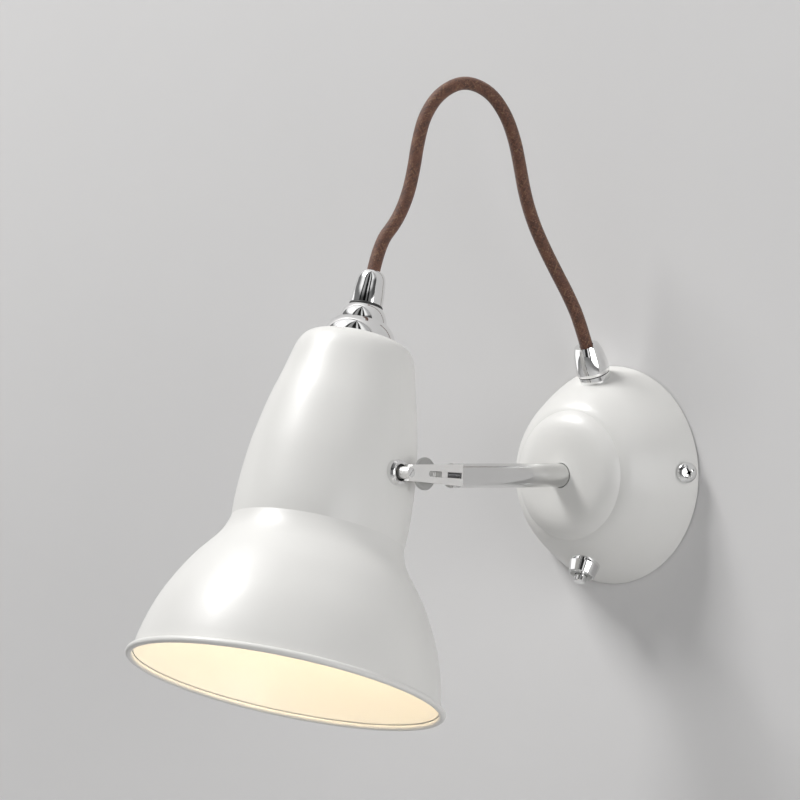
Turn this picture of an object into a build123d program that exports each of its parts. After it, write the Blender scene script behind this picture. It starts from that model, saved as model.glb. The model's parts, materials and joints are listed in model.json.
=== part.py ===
"""Wall lamp with a tilting spun shade, a short tube arm and a looped fabric flex.

Millimetres. The origin is the centre of the wall cover's rim, on the wall. +Y goes into the wall,
the lamp stands out towards -Y, and +Z is up. The shade turns about an axis along X at the end of the arm.
"""

from build123d import *
import os
from math import cos, hypot, pi, radians, sin, tan

os.makedirs("parts", exist_ok=True)

# ---------------------------------------------------------------- clearances
loose_gap = 0.3  # between two pieces that move past each other
running_gap = 0.05  # radial, a turned pin in its own bore
bolt_gap = 0.25  # radial, a screw through a clearance hole
slip_gap = 0.05  # radial or a side, pieces pushed together by hand

# ---------------------------------------------------------------- wall cover
cover_radius = 55.0
cover_wall = 1.2
cover_front = 41.7  # how far the raised boss stands from the wall
# steps in from the rim's radius, and heights above the wall
cover_side = [(1.4, 3.5), (3.6, 8.0), (6.1, 13.0), (8.8, 18.0), (11.6, 23.0), (15.3, 28.0)]
# steps in from the rim's radius, and down from the boss's front
cover_shoulder = (19.8, 9.0)
cover_crest = (22.6, 7.5)  # where the boss begins
boss_steps = [(24.2, 5.6), (26.6, 3.6), (30.0, 1.9), (35.0, 0.7), (41.0, 0.2)]
boss_flat = 9.0
arm_hole_gap = 0.25

# ---------------------------------------------------------------- wall plate and stirrup
plate_radius = 40.0
plate_thick = 2.0
plate_screw_pitch = 70.0
plate_screw_radius = 2.5
cable_entry_radius = 7.0
cable_entry_drop = 24.0
ear_width = 14.0
ear_gap = 0.9  # the flat ear stands this far inside the curved wall
ear_lean = 26.0  # degrees between the ear's screw and the wall
ear_length = 12.0
cover_screw_radius = 2.5
cover_screw_length = 5.6
cover_screw_seat = 0.36  # the head's flat underside stands this far off the curved wall
cover_screw_height = 6.6  # of the screw's place on the cover, from the wall
cover_screw_inset = 3.0  # and in from the rim's radius
cover_screw_rise = 1.3  # the cover sits slightly turned: its +X screw is this far up, the other as far down
cover_screw_head = 5.3
cover_screw_head_height = 3.4
cover_screw_round = 0.7  # of the head's height, rounded off at its edge
stirrup_width = 20.0
stirrup_half = 16.0
stirrup_foot = 12.0
stirrup_thick = 2.0
stirrup_height = 30.0
foot_screw_radius = 2.0
foot_screw_head = 3.6
foot_screw_head_height = 2.2
screw_head_taper = 12  # degrees

# ---------------------------------------------------------------- arm
arm_radius = 6.0
arm_wall = 1.0
arm_end = 126.5  # outer end of the tube, from the wall
arm_notch = 4.2  # length of the step cut into the tube's near side for the bracket
arm_half_flat = 4.5  # half the width across the pressed end
flat_length = 32.5  # of the pressed end
pinch_length = 24.0  # of the stretch that narrows to it
stud_radius = 5.0
stud_grip = 14.0
stud_tail = 11.0
stud_chamfer = 0.8
arm_washer_radius = 9.0
arm_washer_thick = 1.0
arm_nut_flats = 14.0
arm_nut_height = 4.0
plug_depth = 0.2  # the plug sits this far inside the tube's mouth
plug_length = 18.0

# ---------------------------------------------------------------- tilt bracket
pivot_rise = 1.7
slot_lean = 2.6  # degrees that the slot falls towards the wall
bracket_thick = 3.0
bracket_sunk = 0.1  # its face below the tube's flat side
bracket_top = 5.6
bracket_tail_half = 3.6
bracket_tail_thick = 2.0
bracket_low_inner = 5.1
bracket_low_outer = 2.2
bracket_tip_top = -1.2  # past the pivot
bracket_tip_low = 1.8
slot_start = 1.4  # from the step in the tube to the slot's square inner end
slot_length = 23.15  # to the centre of its outer round
slot_half = 1.41
tail_depth = 14.0

# ---------------------------------------------------------------- tension wheel, its cam pin, shoe and spring
wheel_radius = 7.9
wheel_thick = 1.6
wheel_rim_chamfer = 0.3
cam_low = 1.06  # from the journal's centre to the cam's low side
cam_rise = 0.25  # over a quarter turn
cam_hold = 60  # degrees that the cam stays at its highest
cam_half_width = 0.8
pin_radius = 0.7
shoe_length = 4.4
shoe_foot_half = 2.5
shoe_foot_thick = 2.0
spring_wire = 0.25
spring_radius = 1.05
spring_turns = 9

# ---------------------------------------------------------------- pivot
barrel_radius = 3.0
barrel_proud = 0.3  # of the bracket's face
pivot_clear = 0.55  # between the wheel's rim and the cup's flange
pivot_screw_radius = 1.7
pivot_head_radius = 2.25
pivot_head_height = 0.9
pivot_slot_width = 0.6
pivot_slot_depth = 0.6
pivot_slot_turn = -45  # degrees
cup_flange_radius = 6.3
cup_flange_length = 2.0
cup_neck_radius = 5.5
cup_length = 3.6
cup_bore = 4.2
cup_floor = 1.4
cup_round = 0.5
cup_washer_thick = 0.6
backing_radius = 7.0
backing_thick = 1.2
wave_radius = 4.6
wave_thick = 0.8
pivot_nut_flats = 6.5
pivot_nut_height = 2.8
pivot_screw_proud = 1.5  # of the screw past its nut
backing_stand = 0.8  # the backing washer's flat face, from the shade's inner face on the pivot's line

# ---------------------------------------------------------------- shade, radius and height above the pivot
shade_offset = 47.4  # the shade's axis lies this far to the -X side of the arm
shade_drop = 0.7  # the heights below count from this far under the pivot
shade_tilt = 17.9  # degrees, mouth away from the wall
shade_wall = 1.0
bell_side = [(76.2, -105.5), (75.3, -99.9), (72.5, -87.9), (68.4, -75.9), (62.5, -63.9), (56.5, -53.9), (50.4, -45.9)]
bell_neck = [(46.2, -39.9), (43.8, -34.4)]
shade_waist = (42.8, -30.6)
body_side = [(43.2, -19.9), (42.7, -7.9), (41.5, 6.1), (39.3, 20.1), (36.4, 34.1), (33.2, 46.1), (30.9, 56.1)]
shoulder = [(29.4, 61.5), (27.2, 65.4), (23.4, 68.1)]
shade_top = 68.8
shade_top_flat = 18.8
bead_radius = 1.7
bead_ring = 77.3
bead_drop = 106.7

# ---------------------------------------------------------------- cap stack on the shade
cap_wall = 1.2
cap_foot = 18.2
cap_side = [(17.5, 3.0), (15.7, 6.4)]  # radius, height above the shade's top
cap_crest = (14.4, 7.8)
cap_top_radius = 13.4
cap_height = 8.8
tier_radius = 12.0
tier_side = [(11.4, 3.4), (10.1, 6.1)]
tier_top = 8.7
tier_height = 7.9
ring_radius = 8.4
ring_thick = 1.5
ring_round = 0.6
grip_foot = 8.15
grip_side = [(8.0, 5.0), (7.4, 10.5), (6.4, 15.2)]
grip_top = 5.4
grip_height = 16.8
nipple_radius = 5.0
nipple_bore = 3.7
nipple_below = 14.0
nipple_in_grip = 4.2  # how far it reaches into the grip
nipple_nut_flats = 13.0
nipple_nut_height = 3.0

# ---------------------------------------------------------------- lampholder and bulb
holder_cap_radius = 15.0
holder_cap_height = 14.0
holder_collar = 2.0  # width of the holder cap's flat top
holder_slope = 5.0  # height of the slope round it
holder_radius = 19.0
holder_wall = 2.2
holder_length = 34.0
holder_lip = 1.5
holder_lip_height = 3.0
screw_cap_radius = 13.2
screw_cap_length = 25.0
contact_height = 2.0
bulb_radius = 30.0
bulb_drop = 62.0  # from the cap's edge to the middle of the globe
bulb_foot = 13.0
bulb_flare = [(14.5, 12.0), (21.0, 30.0)]  # radius, distance below the cap's edge
globe_turn = 20  # degrees above its middle where the round globe runs into the neck

# ---------------------------------------------------------------- wall gland and switch, on the cover
gland_height = 13.35  # of the gland's place on the cover, from the wall
gland_inset = 6.1  # and in from the rim's radius
gland_lean = 24.0  # degrees from upright
gland_base_radius = 7.9
gland_base_top = 2.2
gland_ring_thick = 0.6
gland_foot = 8.1
gland_side = [(8.45, 3.0), (8.1, 7.4), (7.2, 12.0)]
gland_top = 6.1
gland_length = 15.1
gland_thread = 5.0
gland_thread_inside = 7.0
gland_nut_flats = 14.0
gland_nut_height = 3.0
gland_sunk = 4.0  # how deep the base's foot is cut to the cover's curve
nut_stand = 1.4  # a nut's flat face, from the cover's curved inner face on its axis
switch_height = 21.65
switch_inset = 10.8
switch_lean = 27.0
collar_radius = 7.7
collar_length = 6.8
collar_face = 6.5
collar_band = 1.0  # straight length above the cover
collar_lip = 0.5
collar_plate = 1.2  # thickness of its closed front
switch_thread = 5.0
switch_body_half = 7.0
switch_body_length = 17.0
switch_body_round = 1.5
switch_thread_inside = 5.0
switch_nut_flats = 14.0
switch_nut_height = 2.0
button_radius = 3.0
button_proud = 3.8
button_travel = 2.5
button_stem = 3.0
button_chamfer = 0.5
tag_length = 5.0
tag_width = 3.0
tag_thick = 0.8

# ---------------------------------------------------------------- mains connection
block_size = (24.0, 10.0, 14.0)
block_round = 1.0
block_ways = 3
block_centre = (-21.0, 19.0)
block_screw_radius = 1.6
block_bore_radius = 1.9
block_pitch = 7.6
block_rows = 7.0  # between the two rows of screws
earth_place = (24.0, 20.0)
earth_screw_radius = 2.0
earth_head = 3.8
earth_head_height = 2.4

# ---------------------------------------------------------------- flex
flex_radius = 3.35
flex_recess = 1.5  # the flex starts this far below the mouth of each grip
flex_straight_shade = 17.0
flex_straight_wall = 15.0
# hand-set corners of the free loop, from the shade to the wall
flex_corners = [
    (-43.5, -116.8, 125.0),
    (-40.9, -111.3, 137.6),
    (-39.4, -108.2, 151.2),
    (-38.4, -106.2, 165.0),
    (-36.8, -102.7, 178.6),
    (-33.2, -95.2, 190.0),
    (-27.5, -83.5, 196.2),
    (-21.6, -71.2, 191.7),
    (-17.8, -63.1, 180.7),
    (-15.5, -58.4, 167.6),
    (-14.2, -55.8, 153.9),
    (-13.1, -53.4, 140.2),
    (-11.2, -49.5, 126.9),
    (-8.6, -44.1, 114.3),
    (-5.7, -37.9, 102.1),
    (-2.6, -31.6, 90.0),
]


# ---------------------------------------------------------------- helpers
def inset(outline, wall):
    """The inner face of a sheet: each point of the outline stepped square to the chord of its neighbours."""
    moved = []
    for i, (r, h) in enumerate(outline):
        r0, h0 = outline[max(i - 1, 0)]
        r1, h1 = outline[min(i + 1, len(outline) - 1)]
        chord = hypot(r1 - r0, h1 - h0)
        moved.append((r - wall * (h1 - h0) / chord, h + wall * (r1 - r0) / chord))
    return moved


def side_plane(origin, up):
    """A plane through a turned piece's axis: x is its radius, y its height along up."""
    return Plane(origin=origin, x_dir=(1, 0, 0), z_dir=Vector(1, 0, 0).cross(Vector(*up)))


def cross_plane(origin, up, height):
    """A plane square to a turned piece's axis, at a height along it."""
    return Plane(origin=Vector(*origin) + Vector(*up) * height, x_dir=(1, 0, 0), z_dir=up)


# ---------------------------------------------------------------- places worked out from the sizes
wall_out = (0, -1, 0)
wall_axis = Axis((0, 0, 0), wall_out)

flat_start = arm_end - flat_length
pinch_start = flat_start - pinch_length
step_start = arm_end - arm_notch  # where the tube's near side ends and the bracket begins
bracket_front = arm_half_flat - bracket_sunk
bracket_back = bracket_front - bracket_thick
bracket_middle = (bracket_front + bracket_back) / 2
slot_inner = step_start + slot_start
slot_outer = slot_inner + slot_length
pivot_reach = slot_outer + wheel_radius + pivot_clear + cup_flange_radius  # the shade's pivot, from the wall
barrel_tip = bracket_front + barrel_proud

tilt = radians(shade_tilt)
shade_up = (0, sin(tilt), cos(tilt))
shade_origin = (-shade_offset, -pivot_reach, pivot_rise - shade_drop)
shade_side = side_plane(shade_origin, shade_up)
shade_axis = Axis(shade_origin, shade_up)

gland_angle = radians(gland_lean)
gland_up = (0, -sin(gland_angle), cos(gland_angle))
gland_origin = (0, -gland_height, cover_radius - gland_inset)
gland_side_plane = side_plane(gland_origin, gland_up)
gland_axis = Axis(gland_origin, gland_up)

switch_angle = radians(switch_lean)
switch_down = (0, -sin(switch_angle), -cos(switch_angle))
switch_origin = (0, -switch_height, switch_inset - cover_radius)
switch_side_plane = side_plane(switch_origin, switch_down)
switch_axis = Axis(switch_origin, switch_down)

pivot_plane = Plane(origin=(0, -pivot_reach, pivot_rise), x_dir=(1, 0, 0), z_dir=(0, 0, 1))
pivot_axis = Axis((0, -pivot_reach, pivot_rise), (1, 0, 0))

slot_angle = radians(slot_lean)
slot_in = Vector(0, cos(slot_angle), -sin(slot_angle))  # along the slot, towards the wall
slot_up = Vector(0, sin(slot_angle), cos(slot_angle))


def on_slot(x, along, up):
    """A point beside the slot's centre line, which runs through the pivot; along counts from -pivot_reach there."""
    return Vector(x, -pivot_reach, pivot_rise) + slot_in * (along + pivot_reach) + slot_up * up


def bracket_face(x):
    """The bracket's side seen square on: x runs along the slot, y is the height above its centre line."""
    return Plane(origin=on_slot(x, 0, 0), x_dir=slot_in, z_dir=(1, 0, 0))


def pivot_face(x):
    """A plane square to the pivot, centred on it."""
    return Plane(origin=(x, -pivot_reach, pivot_rise), x_dir=(0, 1, 0), z_dir=(1, 0, 0))


def pin_face(reach):
    """A plane square to the brake pin, centred on it."""
    return Plane(origin=on_slot(bracket_middle, -reach, 0), x_dir=(1, 0, 0), z_dir=-slot_in)


# ---------------------------------------------------------------- wall plate
ear_angle = radians(ear_lean)
screw_out = (cos(ear_angle), -sin(ear_angle))  # the cover screw's direction on the +X side, in x and y
ear_up = (-sin(ear_angle), -cos(ear_angle))
cover_screw_out = cover_radius - cover_screw_inset
ear_hole = (
    cover_screw_out - screw_out[0] * (cover_wall + ear_gap),
    -cover_screw_height - screw_out[1] * (cover_wall + ear_gap),
)
ear_root = -ear_hole[1] / -ear_up[1]  # along the ear, from the hole to the wall
ear_face = [
    (ear_hole[0] - ear_up[0] * ear_root, ear_hole[1] - ear_up[1] * ear_root),
    (ear_hole[0] + ear_up[0] * (ear_length - ear_root), ear_hole[1] + ear_up[1] * (ear_length - ear_root)),
]
ear_back = [(x - screw_out[0] * plate_thick, y - screw_out[1] * plate_thick) for x, y in ear_face]

with BuildPart() as wall_plate:
    with BuildSketch(Plane.XZ):
        Circle(plate_radius)
        with Locations((-plate_screw_pitch / 2, 0), (plate_screw_pitch / 2, 0)):
            Circle(plate_screw_radius, mode=Mode.SUBTRACT)
        with Locations((0, -cable_entry_drop)):
            Circle(cable_entry_radius, mode=Mode.SUBTRACT)
    extrude(amount=plate_thick)
    for side in (1, -1):
        with BuildSketch(Plane.XY.offset(side * cover_screw_rise)):
            with BuildLine():
                Polyline(
                    (side * (plate_radius - ear_width), 0),
                    (side * ear_face[0][0], 0),
                    (side * ear_face[1][0], ear_face[1][1]),
                    (side * ear_back[1][0], ear_back[1][1]),
                    (side * (ear_back[0][0] + ear_up[0] * plate_thick), -plate_thick),
                    (side * (plate_radius - ear_width), -plate_thick),
                    close=True,
                )
            make_face()
        extrude(amount=ear_width / 2, both=True)
        hole_plane = Plane(
            origin=(side * ear_hole[0], ear_hole[1], side * cover_screw_rise),
            x_dir=(0, 0, 1),
            z_dir=(side * screw_out[0], screw_out[1], 0),
        )
        with BuildSketch(hole_plane):
            Circle(cover_screw_radius + slip_gap)
        extrude(amount=cover_screw_length, both=True, mode=Mode.SUBTRACT)
    with BuildSketch(Plane.XZ):
        with Locations((-plate_screw_pitch / 2, 0), (plate_screw_pitch / 2, 0)):
            Circle(plate_screw_radius)
        with Locations((-stirrup_half - stirrup_foot / 2, 0), (stirrup_half + stirrup_foot / 2, 0)):
            Circle(foot_screw_radius + slip_gap)
        with Locations(block_centre):
            Circle(block_screw_radius + slip_gap)
        with Locations(earth_place):
            Circle(earth_screw_radius + slip_gap)
    extrude(amount=plate_thick, mode=Mode.SUBTRACT)
wall_plate.part.label = "wall_plate"
export_step(wall_plate.part, "parts/wall_plate.step")

# ---------------------------------------------------------------- stirrup that carries the arm
foot_top = plate_thick + stirrup_thick
with BuildPart() as arm_stirrup:
    with BuildSketch(Plane.XY):
        with BuildLine():
            Polyline(
                (-stirrup_half - stirrup_foot, -plate_thick),
                (-stirrup_half + stirrup_thick, -plate_thick),
                (-stirrup_half + stirrup_thick, -stirrup_height + stirrup_thick),
                (stirrup_half - stirrup_thick, -stirrup_height + stirrup_thick),
                (stirrup_half - stirrup_thick, -plate_thick),
                (stirrup_half + stirrup_foot, -plate_thick),
                (stirrup_half + stirrup_foot, -foot_top),
                (stirrup_half, -foot_top),
                (stirrup_half, -stirrup_height),
                (-stirrup_half, -stirrup_height),
                (-stirrup_half, -foot_top),
                (-stirrup_half - stirrup_foot, -foot_top),
                close=True,
            )
        make_face()
    extrude(amount=stirrup_width / 2, both=True)
    with BuildSketch(Plane.XZ.offset(stirrup_height - stirrup_thick)):
        Circle(stud_radius + slip_gap)
    extrude(amount=stirrup_thick, mode=Mode.SUBTRACT)
    with BuildSketch(Plane.XZ.offset(plate_thick)):
        with Locations((-stirrup_half - stirrup_foot / 2, 0), (stirrup_half + stirrup_foot / 2, 0)):
            Circle(foot_screw_radius + slip_gap)
    extrude(amount=stirrup_thick, mode=Mode.SUBTRACT)
arm_stirrup.part.label = "arm_stirrup"
export_step(arm_stirrup.part, "parts/arm_stirrup.step")

with BuildPart() as stirrup_screws:
    with BuildSketch(Plane.XZ):
        with Locations((-stirrup_half - stirrup_foot / 2, 0), (stirrup_half + stirrup_foot / 2, 0)):
            Circle(foot_screw_radius)
    extrude(amount=foot_top)
    with BuildSketch(Plane.XZ.offset(foot_top)):
        with Locations((-stirrup_half - stirrup_foot / 2, 0), (stirrup_half + stirrup_foot / 2, 0)):
            Circle(foot_screw_head)
    extrude(amount=foot_screw_head_height, taper=screw_head_taper)
stirrup_screws.part.label = "stirrup_screws"
export_step(stirrup_screws.part, "parts/stirrup_screws.step")

# ---------------------------------------------------------------- arm: stud, washers, nut, tube
tube_start = stirrup_height + arm_washer_thick
with BuildPart() as arm_stud:
    with BuildSketch(Plane.XZ.offset(stirrup_height - stirrup_thick - stud_tail)):
        Circle(stud_radius)
    extrude(amount=stud_tail + stirrup_thick)
    with BuildSketch(Plane.XZ.offset(stirrup_height)):
        Circle(arm_radius - arm_wall - slip_gap)
    extrude(amount=arm_washer_thick + stud_grip)
    chamfer(arm_stud.edges().group_by(Axis.Y)[-1], length=stud_chamfer)
arm_stud.part.label = "arm_stud"
export_step(arm_stud.part, "parts/arm_stud.step")

with BuildPart() as arm_washers:
    with BuildSketch(Plane.XZ.offset(stirrup_height)):
        Circle(arm_washer_radius)
        Circle(stud_radius + slip_gap, mode=Mode.SUBTRACT)
    extrude(amount=arm_washer_thick)
    with BuildSketch(Plane.XZ.offset(stirrup_height - stirrup_thick - arm_washer_thick)):
        Circle(arm_washer_radius)
        Circle(stud_radius + slip_gap, mode=Mode.SUBTRACT)
    extrude(amount=arm_washer_thick)
arm_washers.part.label = "arm_washers"
export_step(arm_washers.part, "parts/arm_washers.step")

with BuildPart() as arm_nut:
    with BuildSketch(Plane.XZ.offset(stirrup_height - stirrup_thick - arm_washer_thick - arm_nut_height)):
        RegularPolygon(arm_nut_flats / 2, 6, major_radius=False)
        Circle(stud_radius + slip_gap, mode=Mode.SUBTRACT)
    extrude(amount=arm_nut_height)
arm_nut.part.label = "arm_nut"
export_step(arm_nut.part, "parts/arm_nut.step")

# the bore, drawn first: it narrows with the pressed end, one wall inside it
pinch_in = arm_radius - arm_half_flat
with BuildPart() as tube_bore:
    with BuildSketch(Plane.XZ.offset(tube_start)):
        Circle(arm_radius - arm_wall)
    extrude(amount=arm_end - tube_start)
    with BuildSketch(Plane.XY):
        with BuildLine():
            Polyline(
                (-arm_radius + arm_wall, -tube_start),
                (-arm_radius + arm_wall, -pinch_start),
                (-arm_half_flat + arm_wall, -flat_start),
                (-arm_half_flat + arm_wall, -arm_end),
                (arm_half_flat - arm_wall, -arm_end),
                (arm_half_flat - arm_wall, -flat_start),
                (arm_radius - arm_wall, -pinch_start),
                (arm_radius - arm_wall, -tube_start),
                close=True,
            )
        make_face()
    extrude(amount=arm_radius, both=True, mode=Mode.INTERSECT)

with BuildPart() as arm_tube:
    with BuildSketch(Plane.XZ.offset(tube_start)):
        Circle(arm_radius)
    extrude(amount=arm_end - tube_start)
    with BuildSketch(Plane.XY):
        with BuildLine():
            Polyline(
                (-arm_radius, -tube_start),
                (-arm_radius, -pinch_start),
                (-arm_half_flat, -flat_start),
                (-arm_half_flat, -arm_end),
                (arm_half_flat, -arm_end),
                (arm_half_flat, -flat_start),
                (arm_radius, -pinch_start),
                (arm_radius, -tube_start),
                close=True,
            )
        make_face()
    extrude(amount=arm_radius, both=True, mode=Mode.INTERSECT)
    add(tube_bore.part, mode=Mode.SUBTRACT)
    with BuildSketch(Plane.YZ.offset(bracket_back)):
        with Locations((-step_start - arm_notch, 0)):
            Rectangle(arm_notch * 2, arm_radius * 2)
    extrude(amount=arm_radius, mode=Mode.SUBTRACT)
arm_tube.part.label = "arm_tube"
export_step(arm_tube.part, "parts/arm_tube.step")

# ---------------------------------------------------------------- plug that holds the bracket in the tube's mouth
tail_end = step_start - tail_depth
plug_outer = arm_end - plug_depth
with BuildPart() as arm_plug:
    with BuildSketch(Plane.XZ.offset(plug_outer - plug_length)):
        Circle(arm_radius - arm_wall - slip_gap)
        half = arm_half_flat - arm_wall - slip_gap
        Rectangle(half * 2, arm_radius * 2, mode=Mode.INTERSECT)
    extrude(amount=plug_length)
    with BuildSketch(Plane.YZ.offset(bracket_back - slip_gap)):
        with Locations((-tail_end - plug_length + slip_gap, 0)):
            Rectangle(plug_length * 2, arm_radius * 2)
    extrude(amount=arm_radius, mode=Mode.SUBTRACT)
arm_plug.part.label = "arm_plug"
export_step(arm_plug.part, "parts/arm_plug.step")

# ---------------------------------------------------------------- tilt bracket
with BuildPart() as tilt_bracket:
    with BuildSketch(Plane.YZ.offset(bracket_back)):
        with BuildLine():
            Polyline(
                (-step_start - slip_gap, bracket_top),
                (-pivot_reach - bracket_tip_top, bracket_top),
                (-pivot_reach - bracket_tip_low, -bracket_low_outer),
                (-step_start - slip_gap, -bracket_low_inner),
                close=True,
            )
        make_face()
    extrude(amount=bracket_thick)
    with BuildSketch(Plane.YZ.offset(bracket_back)):
        with Locations((-(step_start + slot_start / 2 + tail_end) / 2, 0)):
            Rectangle(step_start + slot_start / 2 - tail_end, bracket_tail_half * 2)
    extrude(amount=bracket_tail_thick)
    with BuildSketch(bracket_face(bracket_back)):
        with Locations((-pivot_reach, 0)):
            Circle(barrel_radius)
        with Locations((-slot_outer, 0)):
            Circle(slot_half)
        with Locations((-(slot_outer + slot_inner) / 2, 0)):
            Rectangle(slot_outer - slot_inner, slot_half * 2)
    extrude(amount=bracket_thick, mode=Mode.SUBTRACT)
    with BuildSketch(pin_face(slot_outer)):
        Circle(pin_radius + running_gap)
    extrude(amount=pivot_reach - slot_outer, mode=Mode.SUBTRACT)
tilt_bracket.part.label = "tilt_bracket"
export_step(tilt_bracket.part, "parts/tilt_bracket.step")

# ---------------------------------------------------------------- tension wheel with its journal and cam
journal_radius = slot_half - running_gap
wheel_face = bracket_back - loose_gap


def cam_point(turn):
    """The cam's edge that comes under the pin when the wheel has turned this many degrees."""
    reach = cam_low + cam_rise * turn / 90
    return (-slot_outer - reach * cos(radians(turn)), reach * sin(radians(turn)))


with BuildPart() as tension_wheel:
    with BuildSketch(bracket_face(wheel_face - wheel_thick)):
        with Locations((-slot_outer, 0)):
            Circle(wheel_radius)
    extrude(amount=wheel_thick)
    chamfer(tension_wheel.edges(), length=wheel_rim_chamfer)
    with BuildSketch(bracket_face(wheel_face)):
        with Locations((-slot_outer, 0)):
            Circle(journal_radius)
    extrude(amount=bracket_middle - cam_half_width - wheel_face)
    with BuildSketch(bracket_face(bracket_middle - cam_half_width)):
        with BuildLine():
            rising = Spline(*[cam_point(turn) for turn in range(0, 91, 15)])
            held = CenterArc((-slot_outer, 0), cam_low + cam_rise, 90, -cam_hold)
            low = CenterArc((-slot_outer, 0), cam_low, 90 - cam_hold, cam_hold - 270)
            Line(held @ 1, low @ 0)
        make_face()
    extrude(amount=cam_half_width * 2)
    with BuildSketch(bracket_face(bracket_middle + cam_half_width)):
        with Locations((-slot_outer, 0)):
            Circle(journal_radius)
    extrude(amount=bracket_thick / 2 - cam_half_width)
tension_wheel.part.label = "tension_wheel"
export_step(tension_wheel.part, "parts/tension_wheel.step")

# the pin lies in the bracket, between the cam and the pivot screw
pin_start = slot_outer + cam_low + running_gap
pin_end = pivot_reach - pivot_screw_radius - cam_rise - running_gap
with BuildPart() as brake_pin:
    with BuildSketch(pin_face(pin_start)):
        Circle(pin_radius)
    extrude(amount=pin_end - pin_start)
brake_pin.part.label = "brake_pin"
export_step(brake_pin.part, "parts/brake_pin.step")

# the shoe rests on the wheel's rim and is pushed out by a spring in the slot
shoe_face = slot_outer - wheel_radius - loose_gap
shoe_back = shoe_face - shoe_length
with BuildPart() as wheel_shoe:
    with BuildSketch(bracket_face(bracket_back)):
        with Locations((-(shoe_face + shoe_back) / 2, 0)):
            Rectangle(shoe_length, (slot_half - slip_gap) * 2)
    extrude(amount=bracket_thick)
    with BuildSketch(bracket_face(bracket_back - shoe_foot_thick)):
        with Locations((-(shoe_face + shoe_back) / 2, 0)):
            Rectangle(shoe_length, shoe_foot_half * 2)
    extrude(amount=shoe_foot_thick)
wheel_shoe.part.label = "wheel_shoe"
export_step(wheel_shoe.part, "parts/wheel_shoe.step")


def coil_point(turn, start, pitch):
    angle = turn * 2 * pi
    return on_slot(
        bracket_middle + spring_radius * cos(angle), start - pitch * turn, spring_radius * sin(angle)
    )


def coil_direction(turn, pitch):
    angle = turn * 2 * pi
    round_x = Vector(-spring_radius * sin(angle) * 2 * pi, 0, 0)
    return (round_x - slot_in * pitch + slot_up * (spring_radius * cos(angle) * 2 * pi)).normalized()


def biarc(p0, t0, p1, t1):
    """Two arcs that leave p0 along t0 and reach p1 along t1, joined smoothly."""
    chord = p1 - p0
    both = t0 + t1
    a = 4 - both.dot(both)
    half = chord.dot(both)
    reach = (-half + (half * half + a * chord.dot(chord)) ** 0.5) / a
    joint = (p0 + t0 * reach + p1 - t1 * reach) * 0.5
    middle = (joint - p0 - t0 * reach).normalized()
    TangentArc(p0, joint, tangent=t0)
    TangentArc(joint, p1, tangent=middle)


spring_start = -slot_inner - spring_wire - slip_gap
spring_length = shoe_back - spring_wire - slip_gap + spring_start
spring_pitch = spring_length / spring_turns
with BuildPart() as shoe_spring:
    with BuildLine():
        for quarter in range(spring_turns * 2):
            begin = quarter / 2
            finish = (quarter + 1) / 2
            biarc(
                coil_point(begin, spring_start, spring_pitch),
                coil_direction(begin, spring_pitch),
                coil_point(finish, spring_start, spring_pitch),
                coil_direction(finish, spring_pitch),
            )
    spring_mouth = Plane(
        origin=coil_point(0, spring_start, spring_pitch), z_dir=coil_direction(0, spring_pitch)
    )
    with BuildSketch(spring_mouth):
        Circle(spring_wire)
    sweep()
shoe_spring.part.label = "shoe_spring"
export_step(shoe_spring.part, "parts/shoe_spring.step")
print("spring gap between turns", round(spring_pitch - spring_wire * 2, 2))

# ---------------------------------------------------------------- wall cover
crest_point = (cover_radius - cover_crest[0], cover_front - cover_crest[1])
cover_outer = [
    (cover_radius, 0),
    *[(cover_radius - step, height) for step, height in cover_side],
    (cover_radius - cover_shoulder[0], cover_front - cover_shoulder[1]),
    crest_point,
]
boss_outer = [
    crest_point,
    *[(cover_radius - step, cover_front - down) for step, down in boss_steps],
    (boss_flat, cover_front),
]
cover_inner = inset([*cover_outer, *boss_outer[1:]], cover_wall)
cover_inner[0] = (cover_radius - cover_wall, 0)
cover_inner[-1] = (boss_flat, cover_front - cover_wall)
crest = len(cover_outer) - 1
arm_hole = arm_radius + arm_hole_gap


def down_wall(points):
    return [(r, -h) for r, h in points]


with BuildPart() as cover_solid:
    with BuildSketch(Plane.XY):
        with BuildLine():
            Spline(*down_wall(cover_outer))
            Spline(*down_wall(boss_outer))
            Polyline((boss_flat, -cover_front), (0, -cover_front), (0, 0), (cover_radius, 0))
        make_face()
    revolve(axis=Axis.Y)

screw_plane = {
    side: Plane(
        origin=(side * cover_screw_out, -cover_screw_height, side * cover_screw_rise),
        x_dir=(0, 0, 1),
        z_dir=(side * screw_out[0], screw_out[1], 0),
    )
    for side in (1, -1)
}
with BuildPart() as wall_cover:
    with BuildSketch(Plane.XY):
        with BuildLine():
            Spline(*down_wall(cover_outer))
            Spline(*down_wall(boss_outer))
            Polyline(
                (boss_flat, -cover_front),
                (arm_hole, -cover_front),
                (arm_hole, -cover_front + cover_wall),
                (boss_flat, -cover_front + cover_wall),
            )
            Spline(*down_wall(cover_inner[crest:])[::-1])
            Spline(*down_wall(cover_inner[: crest + 1])[::-1])
            Line((cover_radius - cover_wall, 0), (cover_radius, 0))
        make_face()
    revolve(axis=Axis.Y)
    with BuildSketch(cross_plane(gland_origin, gland_up, 0)):
        Circle(gland_thread + slip_gap)
    extrude(amount=cover_wall * 4, both=True, mode=Mode.SUBTRACT)
    with BuildSketch(cross_plane(switch_origin, switch_down, 0)):
        Circle(switch_thread + slip_gap)
    extrude(amount=cover_wall * 4, both=True, mode=Mode.SUBTRACT)
    for side in (1, -1):
        with BuildSketch(screw_plane[side]):
            Circle(cover_screw_radius + bolt_gap)
        extrude(amount=cover_wall * 3, both=True, mode=Mode.SUBTRACT)
wall_cover.part.label = "wall_cover"
export_step(wall_cover.part, "parts/wall_cover.step")

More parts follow.
